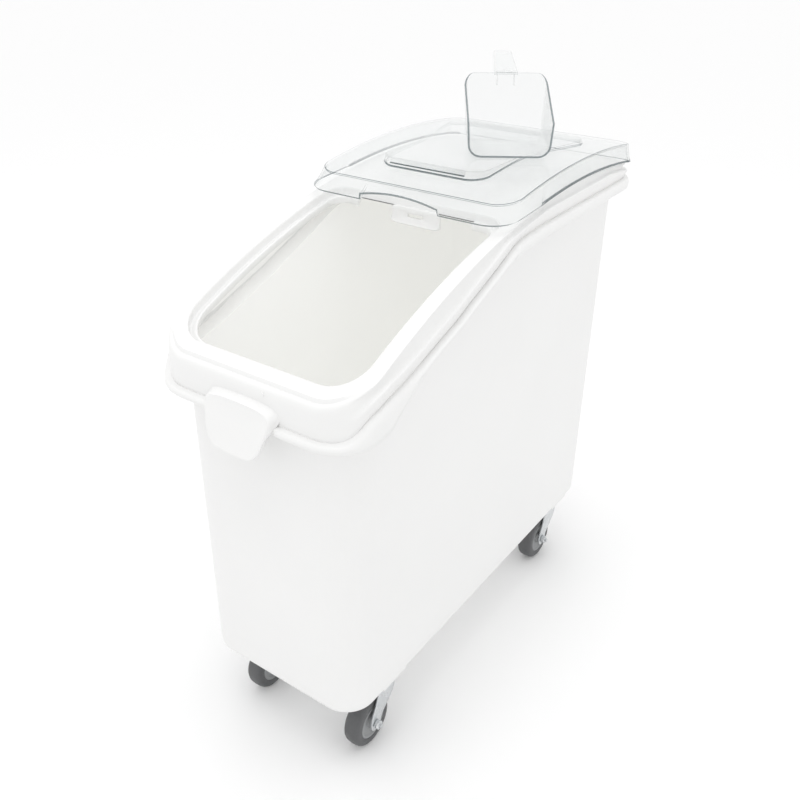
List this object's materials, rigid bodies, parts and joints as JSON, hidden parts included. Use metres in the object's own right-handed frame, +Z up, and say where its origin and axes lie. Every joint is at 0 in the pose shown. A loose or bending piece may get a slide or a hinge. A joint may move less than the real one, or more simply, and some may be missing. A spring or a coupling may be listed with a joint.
{
  "type": "pet food bin",
  "caption": "Slant-top storage bin on swivel casters with a lift-off top frame, a clear lid that slides back on curved rails and a clear scoop.",
  "frame": {"origin": "on the floor, under the middle of the outline from the front tongue to the rear bead", "axes": "+Z up, +X to the right seen from the front, -Y towards the slanted front with the tongue"},
  "size_m": [0.326, 0.7575, 0.8644],
  "materials": {
    "white_plastic": "moulded white polyethylene with a soft satin sheen",
    "clear_plastic": "clear polished polycarbonate with darker edges",
    "zinc_steel": "bright zinc-plated pressed steel",
    "grey_rubber": "satin grey moulded rubber tread",
    "grey_hub": "grey moulded wheel core"
  },
  "bodies": {
    "tub": {"bin_tub": "white_plastic", "front_left_caster_plate": "zinc_steel", "front_left_ball_race": "zinc_steel", "front_left_kingpin": "zinc_steel", "front_left_plate_screw_1": "zinc_steel", "front_left_plate_screw_2": "zinc_steel", "front_left_plate_screw_3": "zinc_steel", "front_left_plate_screw_4": "zinc_steel", "front_right_caster_plate": "zinc_steel", "front_right_ball_race": "zinc_steel", "front_right_kingpin": "zinc_steel", "front_right_plate_screw_1": "zinc_steel", "front_right_plate_screw_2": "zinc_steel", "front_right_plate_screw_3": "zinc_steel", "front_right_plate_screw_4": "zinc_steel", "rear_left_caster_plate": "zinc_steel", "rear_left_ball_race": "zinc_steel", "rear_left_kingpin": "zinc_steel", "rear_left_plate_screw_1": "zinc_steel", "rear_left_plate_screw_2": "zinc_steel", "rear_left_plate_screw_3": "zinc_steel", "rear_left_plate_screw_4": "zinc_steel", "rear_right_caster_plate": "zinc_steel", "rear_right_ball_race": "zinc_steel", "rear_right_kingpin": "zinc_steel", "rear_right_plate_screw_1": "zinc_steel", "rear_right_plate_screw_2": "zinc_steel", "rear_right_plate_screw_3": "zinc_steel", "rear_right_plate_screw_4": "zinc_steel"},
    "top_frame": {"top_frame": "white_plastic"},
    "lid": {"sliding_lid": "clear_plastic"},
    "scoop": {"scoop": "clear_plastic"},
    "front_left_swivel": {"front_left_fork": "zinc_steel", "front_left_axle_bolt": "zinc_steel", "front_left_axle_nut": "zinc_steel"},
    "front_right_swivel": {"front_right_fork": "zinc_steel", "front_right_axle_bolt": "zinc_steel", "front_right_axle_nut": "zinc_steel"},
    "rear_left_swivel": {"rear_left_fork": "zinc_steel", "rear_left_axle_bolt": "zinc_steel", "rear_left_axle_nut": "zinc_steel"},
    "rear_right_swivel": {"rear_right_fork": "zinc_steel", "rear_right_axle_bolt": "zinc_steel", "rear_right_axle_nut": "zinc_steel"},
    "front_left_wheel": {"front_left_tyre": "grey_rubber", "front_left_wheel_hub": "grey_hub"},
    "front_right_wheel": {"front_right_tyre": "grey_rubber", "front_right_wheel_hub": "grey_hub"},
    "rear_left_wheel": {"rear_left_tyre": "grey_rubber", "rear_left_wheel_hub": "grey_hub"},
    "rear_right_wheel": {"rear_right_tyre": "grey_rubber", "rear_right_wheel_hub": "grey_hub"}
  },
  "joints": [
    {"name": "frame_lift", "type": "slide", "parent": "tub", "child": "top_frame", "axis": [0, 0, 1], "range_m": [0, 0.2]},
    {"name": "lid_slide", "type": "hinge", "parent": "top_frame", "child": "lid", "pos_m": [0, 0.168, -0.378], "axis": [1, 0, 0], "range_deg": [0, 15.4]},
    {"name": "scoop_lift", "type": "slide", "parent": "lid", "child": "scoop", "axis": [0, 0, 1], "range_m": [0, 0.2]},
    {"name": "front_left_swivel_turn", "type": "hinge", "parent": "tub", "child": "front_left_swivel", "pos_m": [-0.09, -0.224, 0.09], "axis": [0, 0, 1], "continuous": true},
    {"name": "front_right_swivel_turn", "type": "hinge", "parent": "tub", "child": "front_right_swivel", "pos_m": [0.09, -0.224, 0.09], "axis": [0, 0, 1], "continuous": true},
    {"name": "rear_left_swivel_turn", "type": "hinge", "parent": "tub", "child": "rear_left_swivel", "pos_m": [-0.09, 0.276, 0.09], "axis": [0, 0, 1], "continuous": true},
    {"name": "rear_right_swivel_turn", "type": "hinge", "parent": "tub", "child": "rear_right_swivel", "pos_m": [0.09, 0.276, 0.09], "axis": [0, 0, 1], "continuous": true},
    {"name": "front_left_wheel_spin", "type": "hinge", "parent": "front_left_swivel", "child": "front_left_wheel", "pos_m": [-0.09, -0.249, 0.038], "axis": [1, 0, 0], "continuous": true},
    {"name": "front_right_wheel_spin", "type": "hinge", "parent": "front_right_swivel", "child": "front_right_wheel", "pos_m": [0.09, -0.249, 0.038], "axis": [1, 0, 0], "continuous": true},
    {"name": "rear_left_wheel_spin", "type": "hinge", "parent": "rear_left_swivel", "child": "rear_left_wheel", "pos_m": [-0.09, 0.251, 0.038], "axis": [1, 0, 0], "continuous": true},
    {"name": "rear_right_wheel_spin", "type": "hinge", "parent": "rear_right_swivel", "child": "rear_right_wheel", "pos_m": [0.09, 0.251, 0.038], "axis": [1, 0, 0], "continuous": true}
  ]
}
